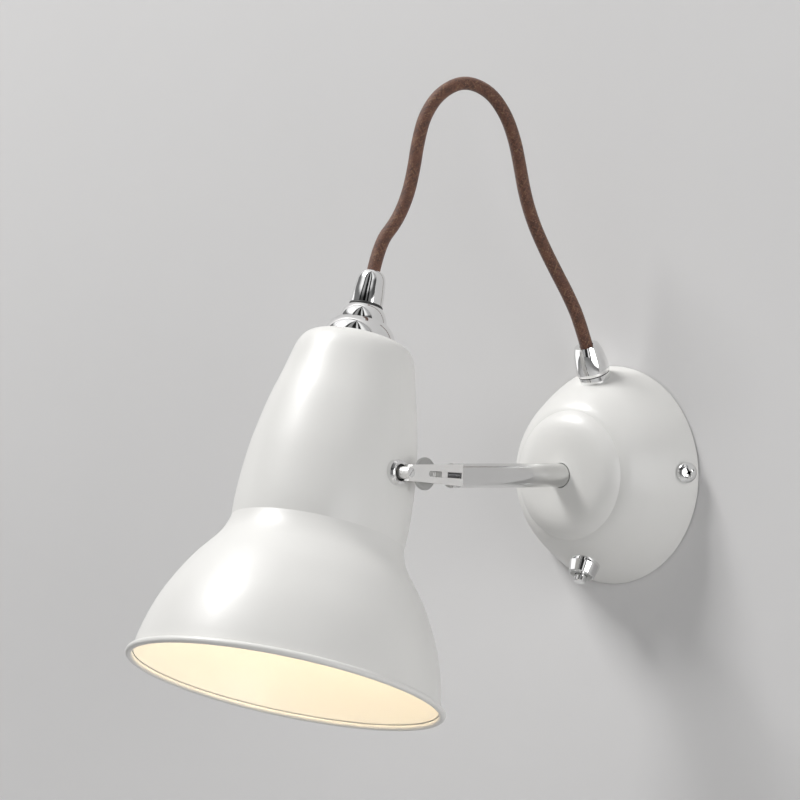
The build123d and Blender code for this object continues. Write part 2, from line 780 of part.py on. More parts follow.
with BuildPart() as cover_screws:
    for side in (1, -1):
        with BuildSketch(screw_plane[side].offset(cover_screw_seat)):
            Circle(cover_screw_radius)
        extrude(amount=-cover_screw_length)
        with BuildSketch(screw_plane[side].offset(cover_screw_seat)):
            Circle(cover_screw_head)
        extrude(amount=cover_screw_head_height)
        fillet(
            cover_screws.faces().sort_by(Axis((0, 0, 0), (side, 0, 0)))[-1].edges(),
            radius=cover_screw_head_height * cover_screw_round,
        )
cover_screws.part.label = "cover_screws"
export_step(cover_screws.part, "parts/cover_screws.step")

# ---------------------------------------------------------------- mains connection
block_long, block_high, block_tall = block_size
with BuildPart() as terminal_block:
    with BuildSketch(Plane.XZ.offset(plate_thick)):
        with Locations(block_centre):
            Rectangle(block_long, block_tall)
    extrude(amount=block_high)
    fillet(terminal_block.edges().filter_by(Axis.Y), radius=block_round)
    with BuildSketch(Plane.XY.offset(block_centre[1] - block_tall / 2)):
        with Locations((block_centre[0], -plate_thick - block_high / 2)):
            with GridLocations(block_pitch, block_rows, block_ways, 1):
                Circle(block_bore_radius)
    extrude(amount=block_tall, mode=Mode.SUBTRACT)
    with BuildSketch(Plane.XZ.offset(plate_thick)):
        with Locations(block_centre):
            with GridLocations(block_pitch, block_rows, block_ways, 2):
                Circle(block_screw_radius + slip_gap)
    extrude(amount=block_high, mode=Mode.SUBTRACT)
terminal_block.part.label = "terminal_block"
export_step(terminal_block.part, "parts/terminal_block.step")

with BuildPart() as terminal_screws:
    with BuildSketch(Plane.XZ.offset(plate_thick + block_high / 2 + block_bore_radius)):
        with Locations(block_centre):
            with GridLocations(block_pitch, block_rows, block_ways, 2):
                Circle(block_screw_radius)
    extrude(amount=block_high / 2 - block_bore_radius)
terminal_screws.part.label = "terminal_screws"
export_step(terminal_screws.part, "parts/terminal_screws.step")

with BuildPart() as earth_screw:
    with BuildSketch(Plane.XZ):
        with Locations(earth_place):
            Circle(earth_screw_radius)
    extrude(amount=plate_thick)
    with BuildSketch(Plane.XZ.offset(plate_thick)):
        with Locations(earth_place):
            Circle(earth_head)
    extrude(amount=earth_head_height, taper=screw_head_taper)
earth_screw.part.label = "earth_screw"
export_step(earth_screw.part, "parts/earth_screw.step")

# ---------------------------------------------------------------- flex gland on the cover
gland_cap_foot = gland_base_top + gland_ring_thick
gland_mouth = gland_cap_foot + gland_length
flex_gap = flex_radius + bolt_gap
with BuildPart() as gland_base:
    with BuildSketch(cross_plane(gland_origin, gland_up, -gland_sunk)):
        Circle(gland_base_radius)
    extrude(amount=gland_sunk + gland_base_top)
    add(cover_solid.part, mode=Mode.SUBTRACT)
    with BuildSketch(cross_plane(gland_origin, gland_up, -gland_thread_inside)):
        Circle(gland_thread)
    extrude(amount=gland_thread_inside + gland_base_top)
    with BuildSketch(cross_plane(gland_origin, gland_up, -gland_thread_inside)):
        Circle(flex_gap)
    extrude(amount=gland_thread_inside + gland_base_top, mode=Mode.SUBTRACT)
gland_base.part.label = "gland_base"
export_step(gland_base.part, "parts/gland_base.step")

gland_nut_top = -cover_wall - nut_stand
with BuildPart() as gland_nut:
    with BuildSketch(cross_plane(gland_origin, gland_up, gland_nut_top - gland_nut_height)):
        RegularPolygon(gland_nut_flats / 2, 6, major_radius=False)
        Circle(gland_thread + slip_gap, mode=Mode.SUBTRACT)
    extrude(amount=gland_nut_height)
gland_nut.part.label = "gland_nut"
export_step(gland_nut.part, "parts/gland_nut.step")

with BuildPart() as gland_ring:
    with BuildSketch(cross_plane(gland_origin, gland_up, gland_base_top)):
        Circle(gland_base_radius)
        Circle(flex_gap, mode=Mode.SUBTRACT)
    extrude(amount=gland_ring_thick)
gland_ring.part.label = "gland_ring"
export_step(gland_ring.part, "parts/gland_ring.step")


def grip_shell(foot_radius, side, top_radius, foot, length):
    """The outline of a tapering grip: its outer curve, its mouth and the straight bore behind it."""
    Spline(
        (foot_radius, foot), *[(r, foot + h) for r, h in side], (top_radius, foot + length)
    )
    Polyline(
        (top_radius, foot + length),
        (flex_gap, foot + length),
        (flex_gap, foot + length - flex_recess),
        (flex_gap + cap_wall, foot + length - flex_recess),
        (flex_gap + cap_wall, foot),
        (foot_radius, foot),
    )


with BuildPart() as gland_cap:
    with BuildSketch(gland_side_plane):
        with BuildLine():
            grip_shell(gland_foot, gland_side, gland_top, gland_cap_foot, gland_length)
        make_face()
    revolve(axis=gland_axis)
gland_cap.part.label = "gland_cap"
export_step(gland_cap.part, "parts/gland_cap.step")

with BuildPart() as gland_insert:
    with BuildSketch(cross_plane(gland_origin, gland_up, gland_cap_foot)):
        Circle(flex_gap + cap_wall - slip_gap)
    extrude(amount=gland_length - flex_recess)
gland_insert.part.label = "gland_insert"
export_step(gland_insert.part, "parts/gland_insert.step")

# ---------------------------------------------------------------- switch
with BuildPart() as switch_collar:
    with BuildSketch(switch_side_plane):
        with BuildLine():
            Polyline(
                (0, -gland_sunk),
                (collar_radius, -gland_sunk),
                (collar_radius, collar_band),
                (collar_face, collar_length - collar_lip),
                (collar_face - collar_lip, collar_length),
                (0, collar_length),
                close=True,
            )
        make_face()
    revolve(axis=switch_axis)
    add(cover_solid.part, mode=Mode.SUBTRACT)
    with BuildSketch(cross_plane(switch_origin, switch_down, -gland_sunk)):
        Circle(switch_thread + slip_gap)
    extrude(amount=gland_sunk + collar_length - collar_plate, mode=Mode.SUBTRACT)
    with BuildSketch(cross_plane(switch_origin, switch_down, 0)):
        Circle(button_radius + loose_gap)
    extrude(amount=collar_length, mode=Mode.SUBTRACT)
switch_collar.part.label = "switch_collar"
export_step(switch_collar.part, "parts/switch_collar.step")

stem_room = button_travel + button_stem + loose_gap
thread_end = collar_length - collar_plate - slip_gap
with BuildPart() as switch_body:
    with BuildSketch(cross_plane(switch_origin, switch_down, -switch_thread_inside - switch_body_length)):
        RectangleRounded(switch_body_half * 2, switch_body_half * 2, switch_body_round)
    extrude(amount=switch_body_length)
    with BuildSketch(cross_plane(switch_origin, switch_down, -switch_thread_inside)):
        Circle(switch_thread)
    extrude(amount=switch_thread_inside + thread_end)
    with BuildSketch(cross_plane(switch_origin, switch_down, thread_end)):
        Circle(button_radius + loose_gap)
    extrude(amount=-stem_room, mode=Mode.SUBTRACT)
switch_body.part.label = "switch_body"
export_step(switch_body.part, "parts/switch_body.step")

switch_nut_top = -cover_wall - nut_stand
with BuildPart() as switch_nut:
    with BuildSketch(cross_plane(switch_origin, switch_down, switch_nut_top - switch_nut_height)):
        RegularPolygon(switch_nut_flats / 2, 6, major_radius=False)
        Circle(switch_thread + slip_gap, mode=Mode.SUBTRACT)
    extrude(amount=switch_nut_height)
switch_nut.part.label = "switch_nut"
export_step(switch_nut.part, "parts/switch_nut.step")

button_top = collar_length + button_proud
with BuildPart() as switch_button:
    with BuildSketch(cross_plane(switch_origin, switch_down, thread_end - button_stem)):
        Circle(button_radius)
    extrude(amount=button_top - thread_end + button_stem)
    chamfer(switch_button.edges().sort_by(switch_axis)[-1], length=button_chamfer)
switch_button.part.label = "switch_button"
export_step(switch_button.part, "parts/switch_button.step")

with BuildPart() as switch_tags:
    with BuildSketch(
        cross_plane(switch_origin, switch_down, -switch_thread_inside - switch_body_length - tag_length)
    ):
        with Locations((-switch_body_half / 2, 0), (switch_body_half / 2, 0)):
            Rectangle(tag_thick, tag_width)
    extrude(amount=tag_length)
switch_tags.part.label = "switch_tags"
export_step(switch_tags.part, "parts/switch_tags.step")

# ---------------------------------------------------------------- shade
bell_outer = [*bell_side, *bell_neck, shade_waist]
body_outer = [shade_waist, *body_side, *shoulder, (shade_top_flat, shade_top)]
shade_inner = inset([*bell_outer, *body_outer[1:]], shade_wall)
shade_inner[-1] = (shade_top_flat, shade_top - shade_wall)
waist = len(bell_outer) - 1
top_hole = nipple_radius + slip_gap

with BuildPart() as shade_solid:
    with BuildSketch(shade_side):
        with BuildLine():
            Spline(*bell_outer)
            Spline(*body_outer)
            Polyline((shade_top_flat, shade_top), (0, shade_top), (0, bell_outer[0][1]), bell_outer[0])
        make_face()
    revolve(axis=shade_axis)

with BuildPart() as shade:
    with BuildSketch(shade_side):
        with BuildLine():
            Spline(*bell_outer)
            Spline(*body_outer)
            Polyline(
                (shade_top_flat, shade_top),
                (top_hole, shade_top),
                (top_hole, shade_top - shade_wall),
                (shade_top_flat, shade_top - shade_wall),
            )
            Spline(*shade_inner[waist:][::-1])
            Spline(*shade_inner[: waist + 1][::-1])
            Line(shade_inner[0], bell_outer[0])
        make_face()
        with Locations((bead_ring, -bead_drop)):
            Circle(bead_radius)
    revolve(axis=shade_axis)
    with BuildSketch(pivot_face(-shade_offset)):
        Circle(pivot_screw_radius + slip_gap)
    extrude(amount=shade_offset, mode=Mode.SUBTRACT)
shade.part.label = "shade"
export_step(shade.part, "parts/shade.step")

# ---------------------------------------------------------------- pivot cup, barrel, screw, washers and nut
# the shade's wall at the pivot's height, between the two points of its side that stand about it
low_side, high_side = body_side[1], body_side[2]
pivot_up = shade_drop * cos(tilt)
share = (pivot_up - low_side[1]) / (high_side[1] - low_side[1])
wall_at_pivot = low_side[0] + (high_side[0] - low_side[0]) * share
seat = -shade_offset + wall_at_pivot
cup_front = seat + cup_length
cup_bottom = seat + cup_floor

with BuildPart() as pivot_cup:
    with BuildSketch(pivot_plane):
        with BuildLine():
            Polyline(
                (seat - cup_floor, 0),
                (seat - cup_floor, cup_flange_radius),
                (seat + cup_flange_length, cup_flange_radius),
                (cup_front, cup_neck_radius),
                (cup_front, cup_bore),
                (cup_bottom, cup_bore),
                (cup_bottom, 0),
                close=True,
            )
        make_face()
    revolve(axis=pivot_axis)
    fillet(pivot_cup.edges().group_by(Axis.X)[-1].sort_by(SortBy.LENGTH)[-1], radius=cup_round)
    add(shade_solid.part, mode=Mode.SUBTRACT)
    with BuildSketch(pivot_face(cup_bottom)):
        Circle(pivot_screw_radius + slip_gap)
    extrude(amount=cup_floor * 4, both=True, mode=Mode.SUBTRACT)
pivot_cup.part.label = "pivot_cup"
export_step(pivot_cup.part, "parts/pivot_cup.step")


with BuildPart() as cup_washer:
    with BuildSketch(pivot_face(cup_bottom)):
        Circle(cup_bore - slip_gap)
        Circle(pivot_screw_radius + slip_gap, mode=Mode.SUBTRACT)
    extrude(amount=cup_washer_thick)
cup_washer.part.label = "cup_washer"
export_step(cup_washer.part, "parts/cup_washer.step")

barrel_start = cup_bottom + cup_washer_thick + running_gap
head_start = barrel_tip - pivot_head_height
with BuildPart() as pivot_barrel:
    with BuildSketch(pivot_face(barrel_start)):
        Circle(barrel_radius)
        Circle(pivot_screw_radius + running_gap, mode=Mode.SUBTRACT)
    extrude(amount=barrel_tip - barrel_start)
    with BuildSketch(pivot_face(head_start - running_gap)):
        Circle(pivot_head_radius + running_gap)
    extrude(amount=pivot_head_height * 2, mode=Mode.SUBTRACT)
    with BuildSketch(pin_face(slot_outer)):
        Circle(pin_radius + running_gap)
    extrude(amount=pivot_reach - slot_outer, mode=Mode.SUBTRACT)
pivot_barrel.part.label = "pivot_barrel"
export_step(pivot_barrel.part, "parts/pivot_barrel.step")

shade_inside = seat - shade_wall
backing_start = shade_inside - backing_thick - backing_stand
wave_start = backing_start - wave_thick
nut_start = wave_start - pivot_nut_height
screw_end = nut_start - pivot_screw_proud
with BuildPart() as pivot_screw:
    with BuildSketch(pivot_face(screw_end)):
        Circle(pivot_screw_radius)
    extrude(amount=head_start - screw_end)
    with BuildSketch(pivot_face(head_start)):
        Circle(pivot_head_radius)
    extrude(amount=pivot_head_height)
    with BuildSketch(pivot_face(barrel_tip - pivot_slot_depth)):
        Rectangle(pivot_slot_width, pivot_head_radius * 3, rotation=pivot_slot_turn)
    extrude(amount=pivot_slot_depth, mode=Mode.SUBTRACT)
pivot_screw.part.label = "pivot_screw"
export_step(pivot_screw.part, "parts/pivot_screw.step")

# the shade's room, its inner face drawn as a solid, trims the backing washer to the curve
with BuildPart() as shade_room:
    with BuildSketch(shade_side):
        with BuildLine():
            Spline(*shade_inner[: waist + 1])
            Spline(*shade_inner[waist:])
            Polyline(
                (shade_top_flat, shade_top - shade_wall),
                (0, shade_top - shade_wall),
                (0, shade_inner[0][1]),
                shade_inner[0],
            )
        make_face()
    revolve(axis=shade_axis)

with BuildPart() as pivot_backing:
    with BuildSketch(pivot_face(backing_start)):
        Circle(backing_radius)
        Circle(pivot_screw_radius + slip_gap, mode=Mode.SUBTRACT)
    extrude(amount=backing_thick + shade_wall * 2)
    add(shade_room.part, mode=Mode.INTERSECT)
pivot_backing.part.label = "pivot_backing"
export_step(pivot_backing.part, "parts/pivot_backing.step")

with BuildPart() as pivot_spring_washer:
    with BuildSketch(pivot_face(wave_start)):
        Circle(wave_radius)
        Circle(pivot_screw_radius + slip_gap, mode=Mode.SUBTRACT)
    extrude(amount=wave_thick)
pivot_spring_washer.part.label = "pivot_spring_washer"
export_step(pivot_spring_washer.part, "parts/pivot_spring_washer.step")

with BuildPart() as pivot_nut:
    with BuildSketch(pivot_face(nut_start)):
        RegularPolygon(pivot_nut_flats / 2, 6, major_radius=False)
        Circle(pivot_screw_radius + slip_gap, mode=Mode.SUBTRACT)
    extrude(amount=pivot_nut_height)
pivot_nut.part.label = "pivot_nut"
export_step(pivot_nut.part, "parts/pivot_nut.step")

# ---------------------------------------------------------------- cap stack
cap_top = shade_top + cap_height
with BuildPart() as shade_cap:
    with BuildSketch(shade_side):
        with BuildLine():
            Spline((cap_foot, shade_top), *[(r, shade_top + h) for r, h in cap_side])
            last = (cap_side[-1][0], shade_top + cap_side[-1][1])
            Spline(last, (cap_crest[0], shade_top + cap_crest[1]), (cap_top_radius, cap_top))
            Polyline(
                (cap_top_radius, cap_top),
                (top_hole, cap_top),
                (top_hole, cap_top - cap_wall),
                (cap_top_radius - cap_wall / 3, cap_top - cap_wall),
                (cap_side[0][0] - cap_wall, shade_top + cap_side[0][1]),
                (cap_foot - cap_wall, shade_top),
                (cap_foot, shade_top),
            )
        make_face()
    revolve(axis=shade_axis)
shade_cap.part.label = "shade_cap"
export_step(shade_cap.part, "parts/shade_cap.step")

tier_end = cap_top + tier_height
with BuildPart() as cap_tier:
    with BuildSketch(shade_side):
        with BuildLine():
            Spline((tier_radius, cap_top), *[(r, cap_top + h) for r, h in tier_side], (tier_top, tier_end))
            Polyline((tier_top, tier_end), (top_hole, tier_end), (top_hole, cap_top), (tier_radius, cap_top))
        make_face()
    revolve(axis=shade_axis)
cap_tier.part.label = "cap_tier"
export_step(cap_tier.part, "parts/cap_tier.step")

ring_end = tier_end + ring_thick
with BuildPart() as cap_ring:
    with BuildSketch(cross_plane(shade_origin, shade_up, tier_end)):
        Circle(ring_radius)
        Circle(top_hole, mode=Mode.SUBTRACT)
    extrude(amount=ring_thick)
    fillet(cap_ring.edges().sort_by(SortBy.LENGTH)[-2:], radius=ring_round)
cap_ring.part.label = "cap_ring"
export_step(cap_ring.part, "parts/cap_ring.step")

with BuildPart() as cap_grip:
    with BuildSketch(shade_side):
        with BuildLine():
            grip_shell(grip_foot, grip_side, grip_top, ring_end, grip_height)
        make_face()
    revolve(axis=shade_axis)
    with BuildSketch(cross_plane(shade_origin, shade_up, ring_end)):
        Circle(top_hole)
    extrude(amount=nipple_in_grip, mode=Mode.SUBTRACT)
cap_grip.part.label = "cap_grip"
export_step(cap_grip.part, "parts/cap_grip.step")

nipple_top = ring_end + nipple_in_grip - slip_gap
nipple_bottom = shade_top - nipple_below
with BuildPart() as cap_nipple:
    with BuildSketch(cross_plane(shade_origin, shade_up, nipple_bottom)):
        Circle(nipple_radius)
        Circle(nipple_bore, mode=Mode.SUBTRACT)
    extrude(amount=nipple_top - nipple_bottom)
cap_nipple.part.label = "cap_nipple"
export_step(cap_nipple.part, "parts/cap_nipple.step")

cap_flex_start = ring_end + grip_height - flex_recess
with BuildPart() as cap_insert:
    with BuildSketch(cross_plane(shade_origin, shade_up, nipple_top)):
        Circle(flex_gap + cap_wall - slip_gap)
    extrude(amount=cap_flex_start - nipple_top)
cap_insert.part.label = "cap_insert"
export_step(cap_insert.part, "parts/cap_insert.step")

# ---------------------------------------------------------------- lampholder and bulb
nut_top = shade_top - shade_wall
with BuildPart() as nipple_nut:
    with BuildSketch(cross_plane(shade_origin, shade_up, nut_top - nipple_nut_height)):
        RegularPolygon(nipple_nut_flats / 2, 6, major_radius=False)
        Circle(top_hole, mode=Mode.SUBTRACT)
    extrude(amount=nipple_nut_height)
nipple_nut.part.label = "nipple_nut"
export_step(nipple_nut.part, "parts/nipple_nut.step")

holder_top = nut_top - nipple_nut_height
holder_joint = holder_top - holder_cap_height
with BuildPart() as holder_cap:
    with BuildSketch(shade_side):
        with BuildLine():
            Polyline(
                (top_hole, holder_top),
                (top_hole + holder_collar, holder_top),
                (holder_cap_radius, holder_top - holder_slope),
                (holder_radius, holder_joint),
                (holder_radius - holder_wall, holder_joint),
                (holder_cap_radius - holder_wall, holder_top - holder_slope - holder_wall),
                (top_hole, holder_top - holder_wall * 2),
                close=True,
            )
        make_face()
    revolve(axis=shade_axis)
holder_cap.part.label = "holder_cap"
export_step(holder_cap.part, "parts/holder_cap.step")

holder_mouth = holder_joint - holder_length
with BuildPart() as holder_body:
    with BuildSketch(cross_plane(shade_origin, shade_up, holder_mouth)):
        Circle(holder_radius)
        Circle(screw_cap_radius + loose_gap, mode=Mode.SUBTRACT)
    extrude(amount=holder_length)
    with BuildSketch(cross_plane(shade_origin, shade_up, holder_mouth)):
        Circle(holder_radius + holder_lip)
        Circle(holder_radius - slip_gap, mode=Mode.SUBTRACT)
    extrude(amount=holder_lip_height)
holder_body.part.label = "holder_body"
export_step(holder_body.part, "parts/holder_body.step")

cap_seat = holder_mouth + screw_cap_length
with BuildPart() as holder_contact:
    with BuildSketch(cross_plane(shade_origin, shade_up, cap_seat + contact_height)):
        Circle(screw_cap_radius + loose_gap - slip_gap)
    extrude(amount=contact_height)
holder_contact.part.label = "holder_contact"
export_step(holder_contact.part, "parts/holder_contact.step")

with BuildPart() as bulb_cap:
    with BuildSketch(cross_plane(shade_origin, shade_up, holder_mouth)):
        Circle(screw_cap_radius)
    extrude(amount=screw_cap_length)
    with BuildSketch(cross_plane(shade_origin, shade_up, cap_seat)):
        Circle(screw_cap_radius / 2)
    extrude(amount=contact_height)
bulb_cap.part.label = "bulb_cap"
export_step(bulb_cap.part, "parts/bulb_cap.step")

globe = holder_mouth - bulb_drop
globe_join = (bulb_radius * cos(radians(globe_turn)), globe + bulb_radius * sin(radians(globe_turn)))
with BuildPart() as bulb_globe:
    with BuildSketch(shade_side):
        with BuildLine():
            Line((0, holder_mouth), (bulb_foot, holder_mouth))
            Spline(
                (bulb_foot, holder_mouth),
                *[(radius, holder_mouth - below) for radius, below in bulb_flare],
                globe_join,
            )
            CenterArc((0, globe), bulb_radius, -90, 90 + globe_turn)
            Line((0, globe - bulb_radius), (0, holder_mouth))
        make_face()
    revolve(axis=shade_axis)
bulb_globe.part.label = "bulb_globe"
export_step(bulb_globe.part, "parts/bulb_globe.step")

# ---------------------------------------------------------------- flex
flex_start = Vector(*shade_origin) + Vector(*shade_up) * cap_flex_start
flex_end = Vector(*gland_origin) + Vector(*gland_up) * (gland_mouth - flex_recess)
flex_route = [
    flex_start,
    flex_start + Vector(*shade_up) * flex_straight_shade,
    *[Vector(*corner) for corner in flex_corners],
    flex_end + Vector(*gland_up) * flex_straight_wall,
    flex_end,
]
flex_runs = [b - a for a, b in zip(flex_route, flex_route[1:])]
flex_turns = [radians(a.get_angle(b)) for a, b in zip(flex_runs, flex_runs[1:])]
flex_radii = [
    0.45 * min(a.length, b.length) / tan(turn / 2) for a, b, turn in zip(flex_runs, flex_runs[1:], flex_turns)
]
with BuildPart() as flex:
    with BuildLine() as flex_line:
        FilletPolyline(*flex_route, radius=flex_radii)
    with BuildSketch(Plane(origin=flex_start, z_dir=shade_up)):
        Circle(flex_radius)
    sweep()
flex.part.label = "flex"
export_step(flex.part, "parts/flex.step")

flex_length = sum(edge.length for edge in flex_line.edges())
print("flex runs", [round(run.length, 1) for run in flex_runs])
print("flex radii", [round(radius, 1) for radius in flex_radii])
print("flex length", round(flex_length, 1))
print("flex volume over section x length", round(flex.part.volume / (pi * flex_radius**2 * flex_length), 4))
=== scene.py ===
import json
import math

import bpy
import numpy as np
from mathutils import Matrix, Vector


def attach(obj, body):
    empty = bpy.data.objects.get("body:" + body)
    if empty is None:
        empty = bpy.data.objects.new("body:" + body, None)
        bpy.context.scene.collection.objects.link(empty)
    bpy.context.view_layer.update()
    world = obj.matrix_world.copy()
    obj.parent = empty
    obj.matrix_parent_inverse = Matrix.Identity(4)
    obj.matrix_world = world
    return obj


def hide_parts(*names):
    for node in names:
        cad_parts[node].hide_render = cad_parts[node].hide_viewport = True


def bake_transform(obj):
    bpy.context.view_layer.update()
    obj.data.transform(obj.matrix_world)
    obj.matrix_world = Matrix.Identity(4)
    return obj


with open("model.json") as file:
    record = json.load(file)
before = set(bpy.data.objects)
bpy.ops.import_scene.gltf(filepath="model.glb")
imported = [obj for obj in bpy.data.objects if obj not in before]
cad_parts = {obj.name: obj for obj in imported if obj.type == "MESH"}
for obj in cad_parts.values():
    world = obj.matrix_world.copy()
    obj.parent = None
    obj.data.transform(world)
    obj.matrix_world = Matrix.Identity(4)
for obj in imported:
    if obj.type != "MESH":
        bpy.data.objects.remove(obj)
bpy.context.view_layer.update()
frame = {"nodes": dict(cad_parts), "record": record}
nodes = frame["nodes"]
scene = bpy.context.scene
print("frame loaded:", len(nodes), "nodes")


# shader maths on sockets: socket + number, 1 - mask, and so on
class Wire:
    def __init__(self, graph, socket):
        self.graph = graph
        self.socket = socket

    def maths(self, operation, first, second=None):
        values = {0: first} if second is None else {0: first, 1: second}
        return self.graph.add("ShaderNodeMath", {"operation": operation}, values)

    def __add__(self, other):
        return self.maths("ADD", self, other)

    def __radd__(self, other):
        return self.maths("ADD", other, self)

    def __sub__(self, other):
        return self.maths("SUBTRACT", self, other)

    def __rsub__(self, other):
        return self.maths("SUBTRACT", other, self)

    def __mul__(self, other):
        return self.maths("MULTIPLY", self, other)

    def __rmul__(self, other):
        return self.maths("MULTIPLY", other, self)

    def __truediv__(self, other):
        return self.maths("DIVIDE", self, other)


class Graph:
    def __init__(self, tree):
        self.tree = tree

    def add(self, kind, settings=None, values=None, out=0):
        node = self.tree.nodes.new(kind)
        for name, value in (settings or {}).items():
            if name == "stops":
                ramp = node.color_ramp
                while len(ramp.elements) < len(value):
                    ramp.elements.new(0.5)
                for element, (place, colour) in zip(ramp.elements, value):
                    element.position = place
                    element.color = (*colour, 1.0)
            else:
                setattr(node, name, value)
        for key, value in (values or {}).items():
            if isinstance(value, Wire):
                self.tree.links.new(value.socket, node.inputs[key])
            else:
                node.inputs[key].default_value = value
        return Wire(self, node.outputs[out])


def newMaterial(name):
    material = bpy.data.materials.new(name)
    material.use_nodes = True
    material.node_tree.nodes.clear()
    return material, Graph(material.node_tree)


def finishMaterial(graph, values):
    shader = graph.add("ShaderNodeBsdfPrincipled", None, values)
    output = graph.tree.nodes.new("ShaderNodeOutputMaterial")
    graph.tree.links.new(shader.socket, output.inputs["Surface"])


def objectNoise(graph, scale, detail=3.0, roughness=0.55):
    place = graph.add("ShaderNodeTexCoord", out="Object")
    values = {"Vector": place, "Scale": scale, "Detail": detail, "Roughness": roughness}
    return graph.add("ShaderNodeTexNoise", None, values)


def tinted(graph, mask, low, high):
    values = {"Factor": mask, 6: (*low, 1), 7: (*high, 1)}
    return graph.add("ShaderNodeMix", {"data_type": "RGBA"}, values, out=2)


# strength, then the height in metres that white stands for
def bumped(graph, height, strength, distance):
    return graph.add("ShaderNodeBump", None, {"Strength": strength, "Distance": distance, "Height": height})


def enamelFinish(name, look):
    material, graph = newMaterial(name)
    cloud = objectNoise(graph, look["cloudScale"])
    peel = objectNoise(graph, look["peelScale"], 1.0)
    bump = bumped(graph, peel, look["peelStrength"], 0.0001)
    finishMaterial(graph, {
        "Base Color": tinted(graph, cloud, look["low"], look["high"]),
        "Roughness": look["roughness"] + cloud * look["patchy"],
        "Coat Weight": look["coat"],
        "Coat Roughness": look["coatRoughness"],
        "Normal": bump,
    })
    return material


def platedFinish(name, look):
    material, graph = newMaterial(name)
    smear = objectNoise(graph, look["smearScale"], 4.0)
    grain = objectNoise(graph, look["grainScale"], 2.0)
    bump = bumped(graph, grain, look["grainStrength"], 0.00005)
    finishMaterial(graph, {
        "Base Color": tinted(graph, smear, look["low"], look["high"]),
        "Metallic": 1.0,
        "Roughness": look["roughness"] + smear * look["smear"],
        "Normal": bump,
    })
    return material


def mouldedFinish(name, look):
    material, graph = newMaterial(name)
    mottle = objectNoise(graph, look["mottleScale"], 2.0)
    bump = bumped(graph, mottle, look["grain"], 0.00008)
    finishMaterial(graph, {
        "Base Color": tinted(graph, mottle, look["low"], look["high"]),
        "Roughness": look["roughness"] + mottle * look["patchy"],
        "Normal": bump,
    })
    return material


def litGlass(name, look):
    material, graph = newMaterial(name)
    frost = objectNoise(graph, look["frostScale"], 2.0)
    bump = bumped(graph, frost, look["frost"], 0.0001)
    finishMaterial(graph, {
        "Base Color": tinted(graph, frost, look["low"], look["high"]),
        "Roughness": look["roughness"] + frost * look["patchy"],
        "Emission Color": (*look["glow"], 1),
        "Emission Strength": look["strength"],
        "Normal": bump,
    })
    return material


def braidFinish(name, look):
    material, graph = newMaterial(name)
    yarn = graph.add("ShaderNodeAttribute", {"attribute_name": "yarnTint"}, out="Fac")
    depth = graph.add("ShaderNodeAttribute", {"attribute_name": "yarnDepth"}, out="Fac")
    fibre = objectNoise(graph, look["fibreScale"], 2.0)
    shade = yarn * look["yarnShare"] + fibre * look["fibreShare"]
    ramp = graph.add("ShaderNodeValToRGB", {"stops": look["stops"]}, {"Fac": shade})
    shaded = graph.add("ShaderNodeMix", {"data_type": "RGBA", "blend_type": "MULTIPLY"},
                       {"Factor": (1 - depth) * look["shadowShare"], 6: ramp, 7: (*look["shadow"], 1)}, out=2)
    bump = bumped(graph, fibre, look["nap"], 0.0001)
    finishMaterial(graph, {
        "Base Color": shaded,
        "Roughness": look["roughness"] + fibre * look["patchy"],
        "Sheen Weight": look["sheen"],
        "Sheen Roughness": look["sheenRoughness"],
        "Normal": bump,
    })
    return material


enamelLook = {"cloudScale": 14.0, "peelScale": 420.0, "peelStrength": 0.03, "roughness": 0.42, "patchy": 0.05,
              "coat": 0.2, "coatRoughness": 0.2,
              "low": (0.73, 0.725, 0.705), "high": (0.765, 0.76, 0.74)}
chromeLook = {"smearScale": 60.0, "grainScale": 900.0, "grainStrength": 0.03,
              "roughness": 0.03, "smear": 0.05,
              "low": (0.80, 0.80, 0.80), "high": (0.88, 0.88, 0.875)}
armLook = {"smearScale": 45.0, "grainScale": 700.0, "grainStrength": 0.05,
           "roughness": 0.12, "smear": 0.1,
           "low": (0.68, 0.68, 0.675), "high": (0.78, 0.78, 0.775)}
nickelLook = {"smearScale": 80.0, "grainScale": 1400.0, "grainStrength": 0.1,
              "roughness": 0.34, "smear": 0.12,
              "low": (0.90, 0.895, 0.88), "high": (0.96, 0.955, 0.94)}
wheelLook = {"smearScale": 90.0, "grainScale": 1300.0, "grainStrength": 0.12,
             "roughness": 0.32, "smear": 0.14,
             "low": (0.44, 0.44, 0.435), "high": (0.56, 0.56, 0.55)}
zincLook = {"smearScale": 110.0, "grainScale": 1200.0, "grainStrength": 0.15,
            "roughness": 0.36, "smear": 0.16,
            "low": (0.50, 0.505, 0.50), "high": (0.66, 0.66, 0.645)}
springLook = {"smearScale": 90.0, "grainScale": 1200.0, "grainStrength": 0.08,
              "roughness": 0.3, "smear": 0.1,
              "low": (0.20, 0.20, 0.205), "high": (0.30, 0.30, 0.31)}
brassLook = {"smearScale": 90.0, "grainScale": 1200.0, "grainStrength": 0.1,
             "roughness": 0.28, "smear": 0.14,
             "low": (0.60, 0.45, 0.20), "high": (0.74, 0.58, 0.29)}
capMetalLook = {"smearScale": 90.0, "grainScale": 1200.0, "grainStrength": 0.1,
                "roughness": 0.26, "smear": 0.1,
                "low": (0.62, 0.62, 0.62), "high": (0.74, 0.74, 0.74)}
blackLook = {"mottleScale": 900.0, "grain": 0.2, "roughness": 0.42, "patchy": 0.08,
             "low": (0.012, 0.012, 0.012), "high": (0.03, 0.03, 0.03)}
whiteLook = {"mottleScale": 900.0, "grain": 0.12, "roughness": 0.3, "patchy": 0.08,
             "low": (0.72, 0.71, 0.68), "high": (0.78, 0.77, 0.74)}
